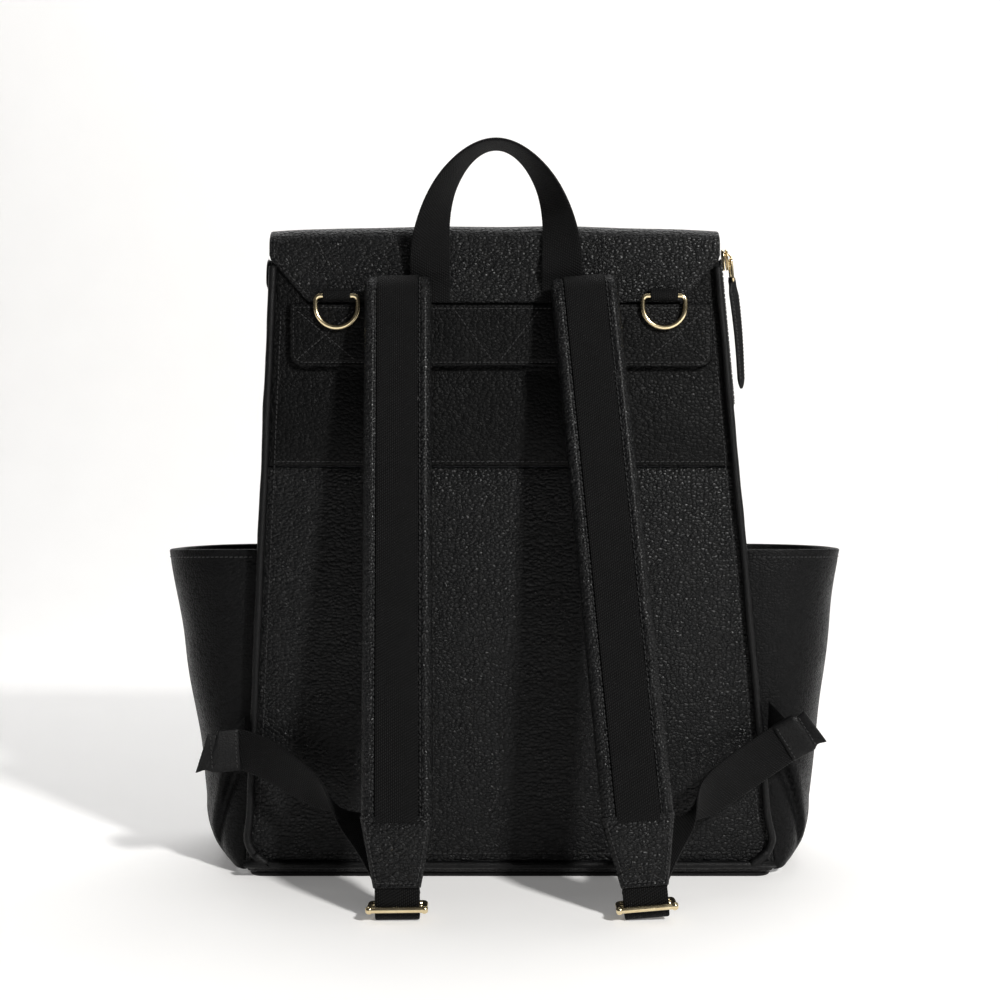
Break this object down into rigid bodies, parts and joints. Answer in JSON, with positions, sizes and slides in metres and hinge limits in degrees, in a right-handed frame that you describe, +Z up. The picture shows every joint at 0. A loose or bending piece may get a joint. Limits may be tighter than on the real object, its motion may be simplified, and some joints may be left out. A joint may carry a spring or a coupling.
{
  "type": "diaper bag",
  "caption": "Backpack-style diaper bag with a fold-over flap, flared side bottle pockets, padded shoulder straps and a webbing grab handle.",
  "frame": {"origin": "centre of the base's flat underside", "axes": "+Z up, -Y out of the back panel towards the wearer, +Y out of the front, +X to the right when the back is viewed"},
  "size_m": [0.4502, 0.2683, 0.4586],
  "materials": {
    "leather": "pebbled, satin",
    "trim_leather": "smooth, satin",
    "webbing": "twill weave, matt",
    "lining": "plain weave, matt",
    "foam": "open foam, matt",
    "board": "matt",
    "zip_tape": "woven, matt",
    "gold": "polished pale gold plate",
    "snap": "satin"
  },
  "bodies": {
    "bag": {"base_panel": "leather", "back_panel_lower": "leather", "back_panel_upper": "leather", "back_yoke": "leather", "front_panel": "leather", "front_pocket": "leather", "gusset_left": "leather", "gusset_right": "leather", "side_pocket_left": "leather", "side_pocket_right": "leather", "flap_rear": "leather", "strap_root_left": "leather", "strap_root_right": "leather", "anchor_tab_left": "leather", "anchor_tab_right": "leather", "piping_back": "trim_leather", "piping_front": "trim_leather", "zip_end_tab": "trim_leather", "handle_root_left": "webbing", "handle_root_right": "webbing", "dring_tab_left": "webbing", "dring_tab_right": "webbing", "adjuster_left": "webbing", "adjuster_right": "webbing", "lining": "lining", "inner_pocket_back": "lining", "inner_pocket_front": "lining", "back_foam": "foam", "base_board": "board", "zip_tape_rear": "zip_tape", "zip_tape_front": "zip_tape", "zip_side_run": "zip_tape", "snap_body_left": "snap", "snap_body_right": "snap"},
    "flap": {"flap_top": "leather", "flap_lining_top": "lining"},
    "flap_front": {"flap_front": "leather", "flap_lining_front": "lining", "snap_flap_left": "snap", "snap_flap_right": "snap"},
    "handle": {"handle_loop": "webbing"},
    "dring_left": {"dring_left": "gold"},
    "dring_right": {"dring_right": "gold"},
    "strap_left": {"strap_shell_left": "leather", "strap_foam_left": "foam", "strap_band_left": "webbing", "strap_tip_left": "leather", "strap_stub_left": "webbing"},
    "slider_left": {"slider_left": "gold"},
    "strap_right": {"strap_shell_right": "leather", "strap_foam_right": "foam", "strap_band_right": "webbing", "strap_tip_right": "leather", "strap_stub_right": "webbing"},
    "slider_right": {"slider_right": "gold"},
    "zip_slider": {"zip_slider": "gold"},
    "zip_link": {"zip_link": "gold"},
    "zip_pull": {"zip_pull": "trim_leather"}
  },
  "joints": [
    {"name": "flap_hinge", "type": "hinge", "parent": "bag", "child": "flap", "pos_m": [-0.0098, -0.08365, 0.4025], "axis": [1, 0, 0], "range_deg": [0, 70]},
    {"name": "flap_fold", "type": "hinge", "parent": "flap", "child": "flap_front", "pos_m": [-0.0096, 0.04075, 0.3954], "axis": [1, 0, 0], "range_deg": [0, 85]},
    {"name": "handle_hinge", "type": "hinge", "parent": "bag", "child": "handle", "pos_m": [-0.00874, -0.09, 0.38], "axis": [1, 0, 0], "range_deg": [0, 60]},
    {"name": "dring_left_hinge", "type": "hinge", "parent": "bag", "child": "dring_left", "pos_m": [-0.10754, -0.0902, 0.3626], "axis": [-1, 0, 0], "range_deg": [0, 150]},
    {"name": "dring_right_hinge", "type": "hinge", "parent": "bag", "child": "dring_right", "pos_m": [0.09546, -0.0902, 0.3626], "axis": [-1, 0, 0], "range_deg": [0, 150]},
    {"name": "strap_left_hinge", "type": "hinge", "parent": "bag", "child": "strap_left", "pos_m": [-0.06854, -0.0983, 0.362], "axis": [-0.9999, 0, -0.0131], "range_deg": [0, 20], "deforming": ["adjuster_left"]},
    {"name": "strap_right_hinge", "type": "hinge", "parent": "bag", "child": "strap_right", "pos_m": [0.04546, -0.0983, 0.362], "axis": [-0.9963, 0, -0.0854], "range_deg": [0, 20], "deforming": ["adjuster_right"]},
    {"name": "slider_left_tilt", "type": "hinge", "parent": "strap_left", "child": "slider_left", "pos_m": [-0.0639, -0.1736, 0.0074], "axis": [0.9999, 0, 0.0131], "range_deg": [-12, 12]},
    {"name": "slider_right_tilt", "type": "hinge", "parent": "strap_right", "child": "slider_right", "pos_m": [0.0758, -0.1737, 0.00825], "axis": [0.9963, 0, 0.0854], "range_deg": [-12, 12]},
    {"name": "zip_slide", "type": "slide", "parent": "bag", "child": "zip_slider", "axis": [0.0907, 0, -0.9959], "range_m": [0, 0.084]},
    {"name": "zip_link_hinge", "type": "hinge", "parent": "zip_slider", "child": "zip_link", "pos_m": [0.13914, -0.073, 0.38772], "axis": [0, -1, 0], "range_deg": [0, 100]},
    {"name": "zip_pull_hinge", "type": "hinge", "parent": "zip_link", "child": "zip_pull", "pos_m": [0.14032, -0.073, 0.37477], "axis": [0, -1, 0], "range_deg": [0, 60]}
  ]
}
